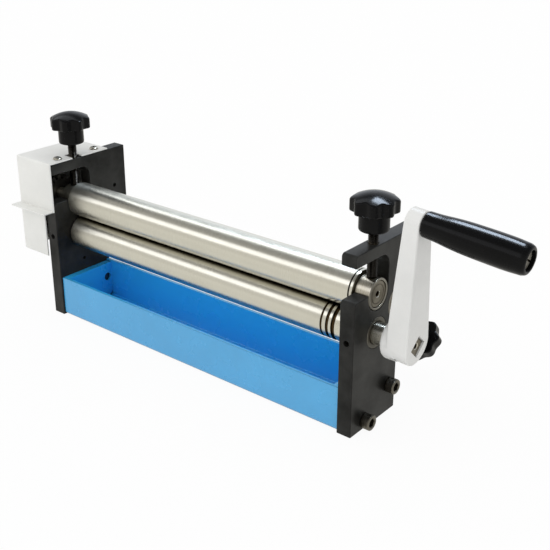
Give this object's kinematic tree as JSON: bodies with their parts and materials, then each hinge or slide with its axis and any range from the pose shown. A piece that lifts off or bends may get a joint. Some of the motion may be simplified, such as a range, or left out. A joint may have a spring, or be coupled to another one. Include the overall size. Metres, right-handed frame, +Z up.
{
  "type": "slip roll",
  "caption": "Bench slip roll for sheet metal: two geared pinch rolls and a bending roll between side plates over a tray, turned by a hand crank.",
  "frame": {"origin": "middle of the base: on the standing surface, midway between the side plates and midway along their feet", "axes": "+X along the rolls towards the crank, +Y to the back, +Z up"},
  "size_m": [0.4811, 0.1292, 0.183],
  "materials": {
    "black_paint": "satin black paint over cast plates",
    "blue_paint": "smooth sky blue enamel",
    "white_sheet": "warm white powder coat on sheet",
    "white_casting": "warm white paint on a casting",
    "ground_steel": "ground bright, fine lines round the roll",
    "turned_steel": "turned, a little oily",
    "gear_steel": "cut teeth with a film of grease",
    "black_screw": "black oxide, satin",
    "black_plastic": "glossy moulded black"
  },
  "bodies": {
    "frame": {"left_side_plate": "black_paint", "right_side_plate": "black_paint", "tray": "blue_paint", "left_front_tray_bolt": "black_screw", "left_rear_tray_bolt": "black_screw", "right_front_tray_bolt": "black_screw", "right_rear_tray_bolt": "black_screw", "left_lower_bushing": "turned_steel", "right_lower_bushing": "turned_steel", "left_bushing_set_screw": "black_screw", "right_bushing_set_screw": "black_screw", "gear_cover": "white_sheet", "front_cover_screw": "turned_steel", "rear_cover_screw": "turned_steel"},
    "driven_roll": {"lower_roll": "ground_steel", "lower_gear": "gear_steel", "lower_gear_nut": "turned_steel", "crank_arm": "white_casting", "crank_grub_screw": "black_screw", "handle_pin": "turned_steel"},
    "grip": {"handle_grip": "black_plastic"},
    "pinch_carrier": {"left_upper_bearing": "turned_steel", "right_upper_bearing": "turned_steel"},
    "pinch_roll": {"upper_roll": "ground_steel", "upper_gear": "gear_steel", "upper_gear_nut": "turned_steel"},
    "left_pinch": {"left_pinch_screw": "black_screw", "left_pinch_knob": "black_plastic"},
    "right_pinch": {"right_pinch_screw": "black_screw", "right_pinch_knob": "black_plastic"},
    "bend_carrier": {"left_rear_bearing": "turned_steel", "right_rear_bearing": "turned_steel"},
    "bend_roll": {"rear_roll": "ground_steel"},
    "left_bend": {"left_rear_screw": "black_screw", "left_rear_knob": "black_plastic"},
    "right_bend": {"right_rear_screw": "black_screw", "right_rear_knob": "black_plastic"}
  },
  "joints": [
    {"name": "crank_turn", "type": "hinge", "parent": "frame", "child": "driven_roll", "pos_m": [0, 0.0002, 0.0744], "axis": [1, 0, 0], "continuous": true},
    {"name": "grip_spin", "type": "hinge", "parent": "driven_roll", "child": "grip", "pos_m": [0.20879, -0.01671, 0.17332], "axis": [0.9956, 0.0159, -0.0928], "continuous": true},
    {"name": "pinch_lift", "type": "slide", "parent": "frame", "child": "pinch_carrier", "axis": [0, 0, 1], "range_m": [0, 0.0025]},
    {"name": "pinch_roll_turn", "type": "hinge", "parent": "pinch_carrier", "child": "pinch_roll", "pos_m": [0, 0.0002, 0.1047], "axis": [1, 0, 0], "continuous": true},
    {"name": "left_pinch_knob_turn", "type": "hinge", "parent": "pinch_carrier", "child": "left_pinch", "pos_m": [-0.15915, 0.0002, 0.1526], "axis": [0, 0, 1], "range_deg": [0, 720]},
    {"name": "right_pinch_knob_turn", "type": "hinge", "parent": "pinch_carrier", "child": "right_pinch", "pos_m": [0.15915, 0.0002, 0.1526], "axis": [0, 0, 1], "range_deg": [0, 720]},
    {"name": "bend_slide", "type": "slide", "parent": "frame", "child": "bend_carrier", "axis": [0, 0.6691, -0.7431], "range_m": [0, 0.0115]},
    {"name": "bend_roll_turn", "type": "hinge", "parent": "bend_carrier", "child": "bend_roll", "pos_m": [0, 0.02644, 0.08955], "axis": [1, 0, 0], "continuous": true},
    {"name": "left_bend_knob_turn", "type": "hinge", "parent": "bend_carrier", "child": "left_bend", "pos_m": [-0.15915, 0.02644, 0.08955], "axis": [0, 0.6691, -0.7431], "range_deg": [0, 3312]},
    {"name": "right_bend_knob_turn", "type": "hinge", "parent": "bend_carrier", "child": "right_bend", "pos_m": [0.15915, 0.02644, 0.08955], "axis": [0, 0.6691, -0.7431], "range_deg": [0, 3312]}
  ],
  "couplings": [
    {"joint": "pinch_roll_turn", "follows": "crank_turn", "ratio": -1},
    {"joint": "left_pinch_knob_turn", "follows": "pinch_lift", "rad_per_m": 5026.5},
    {"joint": "right_pinch_knob_turn", "follows": "pinch_lift", "rad_per_m": 5026.5},
    {"joint": "left_bend_knob_turn", "follows": "bend_slide", "rad_per_m": 5026.5},
    {"joint": "right_bend_knob_turn", "follows": "bend_slide", "rad_per_m": 5026.5}
  ]
}
